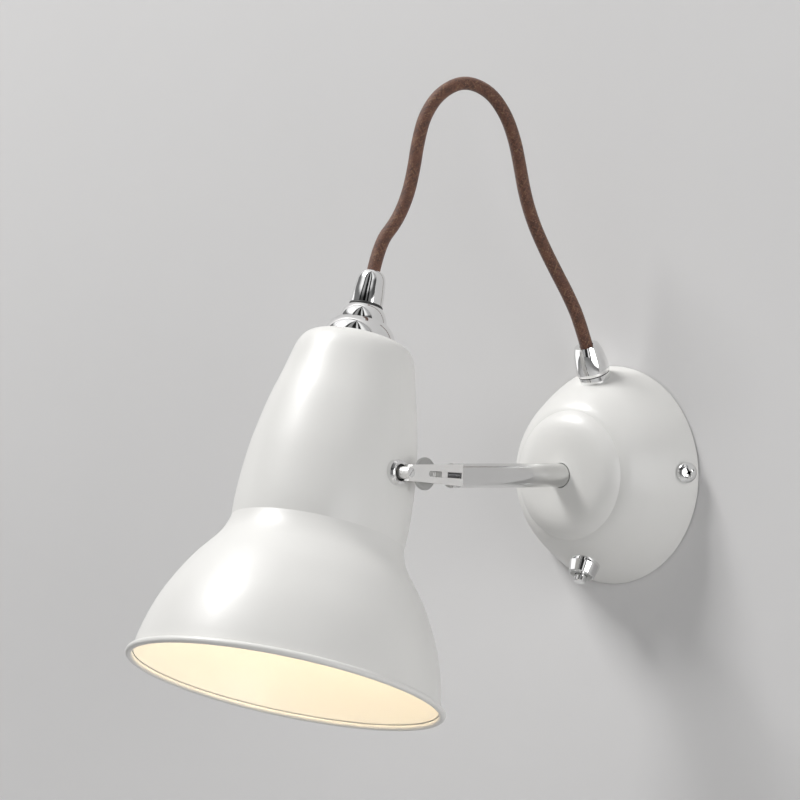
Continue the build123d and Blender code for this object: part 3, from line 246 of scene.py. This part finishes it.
bulbLook = {"frostScale": 600.0, "frost": 0.08, "roughness": 0.35, "patchy": 0.1,
            "low": (0.84, 0.82, 0.76), "high": (0.90, 0.88, 0.82), "glow": (1.0, 0.81, 0.54), "strength": 6.4}
braidLook = {
    "stops": [(0.0, (0.035, 0.02, 0.012)), (0.35, (0.11, 0.045, 0.026)), (0.62, (0.18, 0.075, 0.042)),
              (1.0, (0.30, 0.19, 0.10))],
    "yarnShare": 0.8,
    "fibreShare": 0.2,
    "fibreScale": 2600.0,
    "nap": 0.5,
    "shadow": (0.16, 0.10, 0.07),
    "shadowShare": 0.75,
    "roughness": 0.62,
    "patchy": 0.15,
    "sheen": 0.25,
    "sheenRoughness": 0.5,
}

finishes = {
    "cover_enamel": enamelFinish("coverEnamel", enamelLook),
    "shade_enamel": enamelFinish("shadeEnamel", enamelLook),
    "bright_chrome": platedFinish("brightChrome", chromeLook),
    "arm_chrome": platedFinish("armChrome", armLook),
    "satin_nickel": platedFinish("satinNickel", nickelLook),
    "wheel_nickel": platedFinish("wheelNickel", wheelLook),
    "zinc_steel": platedFinish("zincSteel", zincLook),
    "steel_screws": platedFinish("steelScrews", zincLook),
    "spring_steel": platedFinish("springSteel", springLook),
    "brass_parts": platedFinish("plainBrass", brassLook),
    "cap_metal": platedFinish("rolledCap", capMetalLook),
    "black_plastic": mouldedFinish("blackPlastic", blackLook),
    "white_plastic": mouldedFinish("whitePlastic", whiteLook),
    "frosted_glass": litGlass("litBulb", bulbLook),
    "braid": braidFinish("brownBraid", braidLook),
}
slotOf = {part["node"]: part["material_slot"] for part in frame["record"]["subparts"]}
for name, node in nodes.items():
    node.data.materials.clear()
    node.data.materials.append(finishes[slotOf[name]])
print("materials on", len(slotOf), "nodes")

# camera: the photograph's direction, with the picture's centre beside the lamp's axis
cameraView = {
    "azimuth": 40.5,
    "elevation": -0.6,
    "distance": 2.6,
    "right": -0.107,
    "up": 0.0379,
    "lens": 231.435,
}


def makeCamera(view):
    a, e = math.radians(view["azimuth"]), math.radians(view["elevation"])
    back = Vector((math.sin(a) * math.cos(e), -math.cos(a) * math.cos(e), math.sin(e)))
    right = Vector((math.cos(a), math.sin(a), 0.0))
    up = back.cross(right)
    data = bpy.data.cameras.new("photoCamera")
    data.sensor_width = 36.0
    data.lens = view["lens"]
    data.clip_start, data.clip_end = 0.1, 50.0
    camera = bpy.data.objects.new("photoCamera", data)
    scene.collection.objects.link(camera)
    turn = Matrix((right, up, back)).transposed().to_4x4()
    place = back * view["distance"] + right * view["right"] + up * view["up"]
    camera.matrix_world = Matrix.Translation(place) @ turn
    scene.camera = camera


makeCamera(cameraView)

# flex: the route's corners in metres, from the shade's grip to the cover's
flexLook = {
    "diameter": 0.0067,
    "strands": 18,  # in each of the two directions
    "slant": 1.0,  # of a strand, as length along over length round
    "relief": 0.00022,
    "around": 90,
    "ringStep": 0.00028,
    # two places in metres: first the one on the shade's side, then the one on the wall's side
    "bend": ((-0.00934, -0.01162, -0.01534), (0.01592, 0.0198, 0.02614)),
    "route": [
        (-0.04740, -0.13016, 0.09835),
        (-0.04740, -0.12493, 0.11453),
        (-0.0435, -0.1168, 0.1250),
        (-0.0409, -0.1113, 0.1376),
        (-0.0394, -0.1082, 0.1512),
        (-0.0384, -0.1062, 0.1650),
        (-0.0368, -0.1027, 0.1786),
        (-0.0332, -0.0952, 0.1900),
        (-0.0275, -0.0835, 0.1962),
        (-0.0216, -0.0712, 0.1917),
        (-0.0178, -0.0631, 0.1807),
        (-0.0155, -0.0584, 0.1676),
        (-0.0142, -0.0558, 0.1539),
        (-0.0131, -0.0534, 0.1402),
        (-0.0112, -0.0495, 0.1269),
        (-0.0086, -0.0441, 0.1143),
        (-0.0057, -0.0379, 0.1021),
        (-0.0026, -0.0316, 0.0900),
        (0.00000, -0.02612, 0.07758),
        (0.00000, -0.02002, 0.06388),
    ],
}


def routeLine(points):
    curve = bpy.data.curves.new("flexRoute", "CURVE")
    curve.dimensions = "3D"
    spline = curve.splines.new("NURBS")
    spline.points.add(len(points) - 1)
    for point, place in zip(spline.points, points):
        point.co = (*place, 1.0)
    spline.order_u = 3
    spline.use_endpoint_u = True
    curve.resolution_u = 40
    holder = bpy.data.objects.new("flexRoute", curve)
    scene.collection.objects.link(holder)
    bpy.context.view_layer.update()
    line = bpy.data.meshes.new_from_object(holder.evaluated_get(bpy.context.evaluated_depsgraph_get()))
    places = np.array([v.co for v in line.vertices], float)
    bpy.data.objects.remove(holder)
    bpy.data.meshes.remove(line)
    return places


def evenly(places, step):
    spans = np.linalg.norm(np.diff(places, axis=0), axis=1)
    keep = np.r_[True, spans > 1e-9]
    places, along = places[keep], np.r_[0.0, np.cumsum(spans)][keep]
    marks = np.linspace(0.0, along[-1], int(round(along[-1] / step)) + 1)
    return np.c_[[np.interp(marks, along, places[:, k]) for k in range(3)]].T, marks


def carriedFrames(places):
    tangents = np.gradient(places, axis=0)
    tangents /= np.linalg.norm(tangents, axis=1)[:, None]
    side = np.cross(tangents[0], (1.0, 0.0, 0.0))
    side /= np.linalg.norm(side)
    sides = []
    for tangent in tangents:
        side = side - tangent * (side @ tangent)
        side /= np.linalg.norm(side)
        sides.append(side)
    sides = np.array(sides)
    return sides, np.cross(tangents, sides)


def braidHeight(angle, along, look):
    radius = look["diameter"] / 2
    turns = angle / (2 * np.pi) * look["strands"]
    climb = along / (2 * np.pi * radius * look["slant"]) * look["strands"]
    a, b = turns + climb, turns - climb
    overA = 0.5 + 0.5 * np.cos(np.pi * (b - 0.5 + np.floor(a)))
    overB = 0.5 - 0.5 * np.cos(np.pi * (a - 0.5 + np.floor(b)))
    roundA = np.abs(np.sin(np.pi * a)) ** 0.6
    roundB = np.abs(np.sin(np.pi * b)) ** 0.6
    heightA, heightB = roundA * (0.35 + 0.65 * overA), roundB * (0.35 + 0.65 * overB)
    one, other = np.floor(a) % look["strands"], look["strands"] + np.floor(b) % look["strands"]
    strand = np.where(heightA > heightB, one, other)
    return np.maximum(heightA, heightB), strand


def makeFlex(look):
    places, marks = evenly(routeLine(look["route"]), look["ringStep"])
    sides, ups = carriedFrames(places)
    around = look["around"]
    angles = np.arange(around) * 2 * np.pi / around
    height, strand = braidHeight(angles[None, :], marks[:, None], look)
    radius = look["diameter"] / 2 - look["relief"] * (1 - height)
    ring = sides[:, None, :] * np.cos(angles)[None, :, None]
    ring = ring + ups[:, None, :] * np.sin(angles)[None, :, None]
    points = places[:, None, :] + ring * radius[:, :, None]
    count = len(places)
    vertices = [tuple(p) for p in points.reshape(-1, 3)]
    faces = []
    for i in range(count - 1):
        base = i * around
        for j in range(around):
            k = (j + 1) % around
            faces.append((base + j, base + k, base + around + k, base + around + j))
    faces.append(tuple(reversed(range(around))))
    faces.append(tuple(range((count - 1) * around, count * around)))
    mesh = bpy.data.meshes.new("braidedFlex")
    mesh.from_pydata(vertices, [], faces)
    tints = np.random.default_rng(7).random(look["strands"] * 2)
    fleck = np.random.default_rng(8).random((count // 5 + 1, look["strands"] * 2))
    tone = tints[strand.astype(int)] * 0.55 + fleck[np.arange(count)[:, None] // 5, strand.astype(int)] * 0.45
    for name, values in (("yarnTint", tone), ("yarnDepth", height)):
        attribute = mesh.attributes.new(name, "FLOAT", "POINT")
        attribute.data.foreach_set("value", values.astype(np.float32).ravel())
    mesh.polygons.foreach_set("use_smooth", [True] * len(mesh.polygons))
    mesh.materials.append(finishes["braid"])
    flex = bpy.data.objects.new("braidedFlex", mesh)
    scene.collection.objects.link(flex)
    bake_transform(flex)
    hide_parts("flex")
    print("flex:", count, "rings, length", round(float(marks[-1]), 4))


makeFlex(flexLook)


# small parts that repeat, built with Geometry Nodes
def newTree(name, sizes):
    tree = bpy.data.node_groups.new(name, "GeometryNodeTree")
    tree.interface.new_socket("Geometry", in_out="INPUT", socket_type="NodeSocketGeometry")
    for label, value in sizes.items():
        kind = "NodeSocketInt" if isinstance(value, int) else "NodeSocketFloat"
        tree.interface.new_socket(label, in_out="INPUT", socket_type=kind)
    tree.interface.new_socket("Geometry", in_out="OUTPUT", socket_type="NodeSocketGeometry")
    graph = Graph(tree)
    start = tree.nodes.new("NodeGroupInput")
    return tree, graph, {label: Wire(graph, start.outputs[label]) for label in ["Geometry", *sizes]}


def closeTree(graph, result, material):
    real = graph.add("GeometryNodeRealizeInstances", None, {"Geometry": result})
    dressed = graph.add("GeometryNodeSetMaterial", None, {"Geometry": real, "Material": material})
    end = graph.tree.nodes.new("NodeGroupOutput")
    graph.tree.links.new(dressed.socket, end.inputs["Geometry"])


# runs a tree and puts its mesh where place says
def grow(name, tree, sizes, place, seed=None, sharp=35):
    holder = bpy.data.objects.new(name, seed or bpy.data.meshes.new(name))
    scene.collection.objects.link(holder)
    modifier = holder.modifiers.new("grow", "NODES")
    modifier.node_group = tree
    for item in tree.interface.items_tree:
        if item.in_out == "INPUT" and item.name in sizes:
            modifier[item.identifier] = sizes[item.name]
    bpy.context.view_layer.update()
    mesh = bpy.data.meshes.new_from_object(holder.evaluated_get(bpy.context.evaluated_depsgraph_get()))
    holder.modifiers.remove(modifier)
    mesh.transform(place)
    mesh.polygons.foreach_set("use_smooth", [True] * len(mesh.polygons))
    mesh.set_sharp_from_angle(angle=math.radians(sharp))
    mesh.name = name
    holder.data = mesh
    print(name + ":", len(mesh.polygons), "faces")
    return holder


# a place whose z looks along out and whose x lies along across
def facing(origin, out, across):
    z = Vector(out).normalized()
    x = (Vector(across) - z * Vector(across).dot(z)).normalized()
    turn = Matrix((x, z.cross(x), z)).transposed().to_4x4()
    return Matrix.Translation(Vector(origin)) @ turn


def moved(graph, part, z, turn):
    place = graph.add("ShaderNodeCombineXYZ", None, {"Z": z})
    values = {"Geometry": part, "Translation": place, "Rotation": (0, 0, turn)}
    return graph.add("GeometryNodeTransform", None, values)


# a closed turned piece: points of radius and height, from axis to axis
def spunMesh(name, profile, around):
    vertices, rings = [], []
    for r, h in profile:
        if r == 0:
            rings.append([len(vertices)])
            vertices.append((0, 0, h))
        else:
            rings.append(list(range(len(vertices), len(vertices) + around)))
            vertices += [(r * math.cos(2 * math.pi * k / around), r * math.sin(2 * math.pi * k / around), h)
                         for k in range(around)]
    faces = []
    for low, high in zip(rings, rings[1:]):
        for k in range(around):
            n = (k + 1) % around
            if len(low) == 1:
                faces.append((low[0], high[n], high[k]))
            elif len(high) == 1:
                faces.append((low[k], low[n], high[0]))
            else:
                faces.append((low[k], low[n], high[n], high[k]))
    mesh = bpy.data.meshes.new(name)
    mesh.from_pydata(vertices, [], faces)
    mesh.validate()
    return mesh


# cover screws: pan heads with a cross recess, one each side of the cover
screwLook = {
    "Recess Length": 0.0062,
    "Recess Width": 0.0011,
    "Recess Depth": 0.0016,
    "head": 0.0034,
    "overcut": 0.0002,  # the cutter reaches this far above the head
    "around": 64,
    "profile": [(0, -0.0056), (0.0025, -0.0056), (0.0025, 0.0), (0.0053, 0.0), (0.0053, 0.0010),
                (0.0050, 0.0019), (0.0043, 0.0026), (0.0033, 0.0031), (0.0019, 0.00335), (0, 0.0034)],
    "seat": 0.00036,
    "inset": 0.003,
    "height": 0.0066,
    "rise": 0.0013,
    "rim": 0.055,
    "lean": 26.0,
    "turn": 28.0,
}


def crossScrewTree(look):
    sizes = {key: look[key] for key in ("Recess Length", "Recess Width", "Recess Depth")}
    tree, graph, given = newTree("crossScrew", sizes)
    top = look["head"] - given["Recess Depth"] * 0.5 + look["overcut"]
    arms = []
    for turn in (0.0, math.pi / 2):
        depth = given["Recess Depth"] + 2 * look["overcut"]
        size = graph.add("ShaderNodeCombineXYZ", None,
                         {"X": given["Recess Length"], "Y": given["Recess Width"], "Z": depth})
        arm = graph.add("GeometryNodeMeshCube", None, {"Size": size})
        arms.append(moved(graph, arm, top, turn))
    cross = graph.add("GeometryNodeMeshBoolean", {"operation": "UNION"})
    node = cross.socket.node
    for arm in arms:
        graph.tree.links.new(arm.socket, node.inputs["Mesh 2"])
    cut = graph.add("GeometryNodeMeshBoolean", {"operation": "DIFFERENCE"},
                    {"Mesh 1": given["Geometry"], "Mesh 2": cross})
    closeTree(graph, cut, finishes["bright_chrome"])
    return tree, sizes


def makeCoverScrews(look):
    tree, sizes = crossScrewTree(look)
    lean = math.radians(look["lean"])
    for side in (1, -1):
        out = Vector((side * math.cos(lean), -math.sin(lean), 0))
        onCover = Vector((side * (look["rim"] - look["inset"]), -look["height"], side * look["rise"]))
        spin = Matrix.Rotation(math.radians(look["turn"]), 4, "Z")
        place = facing(onCover + out * look["seat"], out, (0, 0, 1)) @ spin
        name = "coverScrewRight" if side == 1 else "coverScrewLeft"
        screw = grow(name, tree, sizes, place, spunMesh(name, look["profile"], look["around"]))
        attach(screw, "wall_part")
    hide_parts("cover_screws")
    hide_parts("cover_screws")


makeCoverScrews(screwLook)

# serrated face of the switch's collar
serrationLook = {
    "Count": 30,
    "Inner": 0.0037,
    "Outer": 0.0058,
    "Width": 0.00042,
    "Height": 0.00035,
    "origin": (0.0, -0.02165, -0.0442),
    "lean": 27.0,
    "face": 0.0068,
}


def serrationTree(look):
    sizes = {key: look[key] for key in ("Count", "Inner", "Outer", "Width", "Height")}
    tree, graph, given = newTree("serrations", sizes)
    middle = (given["Inner"] + given["Outer"]) * 0.5
    ring = graph.add("GeometryNodeMeshCircle", None, {"Vertices": given["Count"], "Radius": middle})
    spread = given["Outer"] - given["Inner"]
    size = graph.add("ShaderNodeCombineXYZ", None,
                     {"X": spread, "Y": given["Width"], "Z": given["Height"] * 2})
    rib = graph.add("GeometryNodeMeshCube", None, {"Size": size})
    spot = graph.add("GeometryNodeInputPosition")
    aim = graph.add("FunctionNodeAlignRotationToVector", {"axis": "X"}, {"Vector": spot})
    ribs = graph.add("GeometryNodeInstanceOnPoints", None, {"Points": ring, "Instance": rib, "Rotation": aim})
    closeTree(graph, ribs, finishes["steel_screws"])
    return tree, sizes


def makeSerrations(look):
    tree, sizes = serrationTree(look)
    lean = math.radians(look["lean"])
    down = Vector((0, -math.sin(lean), -math.cos(lean)))
    place = facing(Vector(look["origin"]) + down * look["face"], down, (1, 0, 0))
    ribs = grow("collarSerrations", tree, sizes, place)
    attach(ribs, "wall_part")


makeSerrations(serrationLook)

# turned rings on the thumb wheel's two faces, and the milling on its rim
wheelRings = {
    "Rings": 3,
    "First": 0.0071,
    "Step": 0.0011,
    "Wire": 0.00016,
    "Teeth": 84,
    "Rim": 0.00785,
    "Tooth": 0.00016,
    "Thick": 0.0010,
    "centre": (0.0, -0.146865, 0.001031),
    "faces": (-0.0005, 0.0011),
}


def ringTree(look):
    sizes = {key: look[key] for key in ("Rings", "First", "Step", "Wire")}
    tree, graph, given = newTree("turnedRings", sizes)
    one = graph.add("GeometryNodeCurvePrimitiveCircle", {"mode": "RADIUS"}, {"Resolution": 96, "Radius": 1.0})
    spots = graph.add("GeometryNodeMeshLine", None, {"Count": given["Rings"], "Offset": (0, 0, 0)})
    number = graph.add("GeometryNodeInputIndex")
    size = given["First"] - number * given["Step"]
    many = graph.add("GeometryNodeInstanceOnPoints", None, {"Points": spots, "Instance": one, "Scale": size})
    lines = graph.add("GeometryNodeRealizeInstances", None, {"Geometry": many})
    section = graph.add("GeometryNodeCurvePrimitiveCircle", {"mode": "RADIUS"},
                        {"Resolution": 10, "Radius": given["Wire"]})
    rings = graph.add("GeometryNodeCurveToMesh", None, {"Curve": lines, "Profile Curve": section})
    closeTree(graph, rings, finishes["wheel_nickel"])
    return tree, sizes


def millingTree(look):
    sizes = {key: look[key] for key in ("Teeth", "Rim", "Tooth", "Thick")}
    tree, graph, given = newTree("rimMilling", sizes)
    ring = graph.add("GeometryNodeMeshCircle", None, {"Vertices": given["Teeth"], "Radius": given["Rim"]})
    tooth = graph.add("GeometryNodeMeshCylinder", None,
                      {"Vertices": 8, "Radius": given["Tooth"], "Depth": given["Thick"]})
    teeth = graph.add("GeometryNodeInstanceOnPoints", None, {"Points": ring, "Instance": tooth})
    closeTree(graph, teeth, finishes["wheel_nickel"])
    return tree, sizes


def makeWheelDetail(look):
    centre = Vector(look["centre"])
    faceLeft, faceRight = look["faces"]
    tree, sizes = ringTree(look)
    for name, x in (("wheelRingsRight", faceRight), ("wheelRingsLeft", faceLeft)):
        rings = grow(name, tree, sizes, facing((x, centre[1], centre[2]), (1, 0, 0), (0, 1, 0)))
        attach(rings, "wheel")
    tree, sizes = millingTree(look)
    middle = (faceRight + faceLeft) / 2
    milling = grow("wheelMilling", tree, sizes, facing((middle, centre[1], centre[2]), (1, 0, 0), (0, 1, 0)))
    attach(milling, "wheel")


makeWheelDetail(wheelRings)

# wall, floor and light
stageLook = {"wall": (0.72, 0.715, 0.715), "floor": (0.62, 0.62, 0.62)}


# seen from the front only, so that a view from behind shows the lamp
def oneSided(name, colour, patchy=0.03):
    material, graph = newMaterial(name)
    mottle = objectNoise(graph, 3.0, 4.0)
    tint = tinted(graph, mottle, [c * (1 - patchy) for c in colour], [c * (1 + patchy) for c in colour])
    front = graph.add("ShaderNodeBsdfDiffuse", None, {"Color": tint})
    clear = graph.add("ShaderNodeBsdfTransparent")
    behind = graph.add("ShaderNodeNewGeometry", out="Backfacing")
    mixed = graph.add("ShaderNodeMixShader", None, {0: behind, 1: front, 2: clear})
    output = graph.tree.nodes.new("ShaderNodeOutputMaterial")
    graph.tree.links.new(mixed.socket, output.inputs["Surface"])
    return material


def stageSheet(name, corners, material):
    mesh = bpy.data.meshes.new(name)
    mesh.from_pydata(corners, [], [(0, 1, 2, 3)])
    mesh.materials.append(material)
    sheet = bpy.data.objects.new(name, mesh)
    scene.collection.objects.link(sheet)


wallBack = 0.0006  # the wall stands this far behind the cover's rim
stageSheet("wall", [(-4, wallBack, -1.2), (4, wallBack, -1.2), (4, wallBack, 3), (-4, wallBack, 3)],
           oneSided("plasterWall", stageLook["wall"]))
stageSheet("floor", [(-4, -5, -1.2), (4, -5, -1.2), (4, wallBack, -1.2), (-4, wallBack, -1.2)],
           oneSided("paleFloor", stageLook["floor"]))


def areaLight(name, place, target, size, power, colour):
    data = bpy.data.lights.new(name, "AREA")
    data.shape = "RECTANGLE"
    data.size, data.size_y = size
    data.energy = power
    data.color = colour
    light = bpy.data.objects.new(name, data)
    light.location = place
    light.rotation_mode = "QUATERNION"
    light.rotation_quaternion = (Vector(target) - Vector(place)).to_track_quat("-Z", "Y")
    scene.collection.objects.link(light)


lights = [
    {"name": "windowLeft", "place": (-1.15, -1.1, 2.1), "target": (0, -0.05, 0), "size": (0.8, 0.8),
     "power": 64, "colour": (1.0, 0.995, 0.985)},
    {"name": "fillRight", "place": (2.3, -0.9, 0.2), "target": (0, -0.1, 0), "size": (1.6, 1.6),
     "power": 24, "colour": (1.0, 1.0, 1.0)},
]
for light in lights:
    areaLight(**light)
print("lamps:", len(lights))

# the room that bright metal mirrors: bands hold (degrees right of the camera, grey) round the lamp,
# storeys hold (height as a share of straight up or down, how much of the band's grey is left)
roomLook = {
    "facing": 40.5,
    "bands": [(-180, 0.30), (-136, 0.16), (-130, 1.3), (-62, 1.3), (-57, 0.03), (-49, 0.03), (-46, 0.40),
              (-30, 0.40), (-26, 0.02), (-8, 0.02), (-6, 0.9), (2, 0.9), (4, 0.02), (13, 0.02), (16, 1.2),
              (26, 1.2), (36, 0.55), (104, 0.55), (112, 0.12), (180, 0.30)],
    "ambient": (0.19, 0.19, 0.192),  # what dull surfaces get
    "storeys": [(0.0, 1.0), (0.34, 1.0), (0.40, 0.15), (0.56, 0.15), (0.66, 0.85), (1.0, 0.85)],
}


def makeWorld(look):
    world = bpy.data.worlds.new("studio")
    scene.world = world
    world.use_nodes = True
    world.node_tree.nodes.clear()
    graph = Graph(world.node_tree)
    direction = graph.add("ShaderNodeTexCoord", out="Generated")
    facing = graph.add("ShaderNodeVectorRotate", {"rotation_type": "Z_AXIS"},
                       {"Vector": direction, "Angle": -math.radians(look["facing"])})
    east = graph.add("ShaderNodeSeparateXYZ", None, {"Vector": facing}, out="X")
    north = graph.add("ShaderNodeSeparateXYZ", None, {"Vector": facing}, out="Y")
    angle = east.maths("ARCTAN2", east, 0 - north)
    share = angle / (2 * math.pi) + 0.5
    stops = [((degrees + 180) / 360, (grey, grey, grey)) for degrees, grey in look["bands"]]
    bands = graph.add("ShaderNodeValToRGB", {"stops": stops}, {"Fac": share})
    steep = graph.add("ShaderNodeSeparateXYZ", None, {"Vector": direction}, out="Z")
    steep = steep.maths("ABSOLUTE", steep)
    levels = [(height, (grey, grey, grey)) for height, grey in look["storeys"]]
    storeys = graph.add("ShaderNodeValToRGB", {"stops": levels}, {"Fac": steep})
    bands = graph.add("ShaderNodeMix", {"data_type": "RGBA", "blend_type": "MULTIPLY"},
                      {"Factor": 1.0, 6: bands, 7: storeys}, out=2)
    mirrored = graph.add("ShaderNodeLightPath", out="Is Glossy Ray")
    colour = graph.add("ShaderNodeMix", {"data_type": "RGBA"},
                       {"Factor": mirrored, 6: (*look["ambient"], 1), 7: bands}, out=2)
    sky = graph.add("ShaderNodeBackground", None, {"Color": colour, "Strength": 1.0})
    output = graph.tree.nodes.new("ShaderNodeOutputWorld")
    graph.tree.links.new(sky.socket, output.inputs["Surface"])


makeWorld(roomLook)
scene.view_settings.view_transform = "Standard"

bpy.context.view_layer.update()
